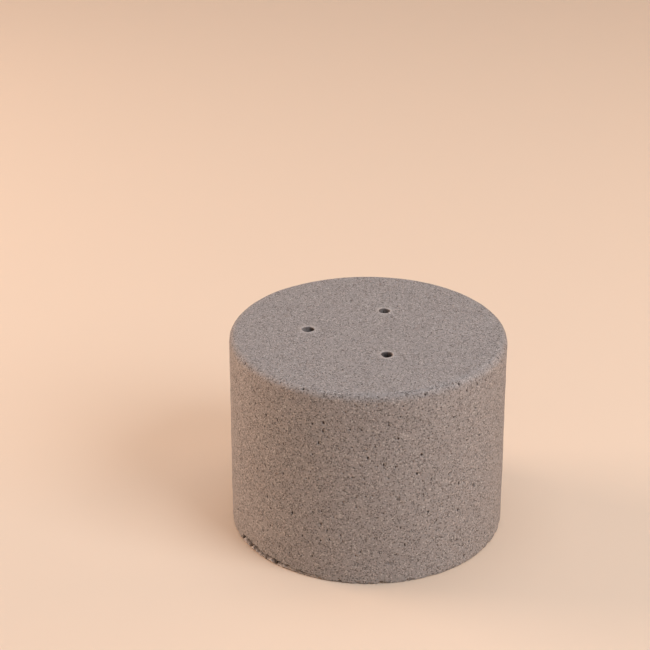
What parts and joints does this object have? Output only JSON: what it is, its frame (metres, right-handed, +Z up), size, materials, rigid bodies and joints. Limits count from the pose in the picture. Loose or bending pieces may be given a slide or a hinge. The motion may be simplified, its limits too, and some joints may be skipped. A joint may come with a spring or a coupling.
{
  "type": "floral foam cylinder",
  "caption": "Round plug of rigid floral foam with a flat base, soft upper edge and leaning stem holes pierced in its top.",
  "frame": {"origin": "middle of the flat underside, on the surface that the foam stands on", "axes": "+Z up along the axis of the round side, -Y towards the front stem hole's side, -X towards the left stem hole"},
  "size_m": [0.12, 0.12, 0.09],
  "materials": {
    "foam": "matte"
  },
  "bodies": {
    "root": {"foam_cylinder": "foam"}
  },
  "joints": []
}
